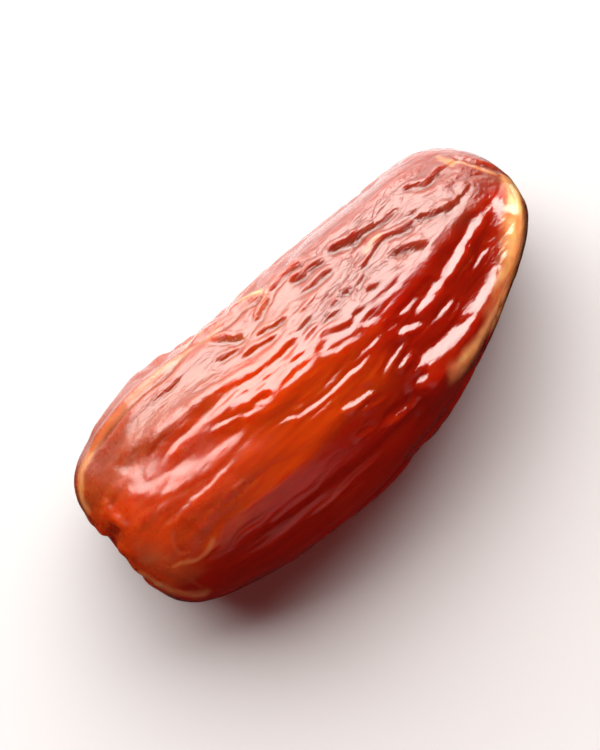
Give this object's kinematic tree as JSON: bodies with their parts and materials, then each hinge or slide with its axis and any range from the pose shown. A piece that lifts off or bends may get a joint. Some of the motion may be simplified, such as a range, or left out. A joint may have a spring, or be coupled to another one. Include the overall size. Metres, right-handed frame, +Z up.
{
  "type": "dried date",
  "caption": "Dried date fruit: a soft, blunt oblong with long folds in its glossy skin and a puckered stem scar, lying on its side.",
  "frame": {"origin": "on the surface that the date lies on, under the middle of its bounding box", "axes": "+X runs lengthwise from the stem end to the tip, +Z is up from the surface, +Y is across"},
  "size_m": [0.041, 0.0192, 0.016],
  "materials": {
    "date_skin": "glossy red-brown translucent fruit skin, amber where it stands off the flesh"
  },
  "bodies": {
    "root": {"date": "date_skin"}
  },
  "joints": []
}
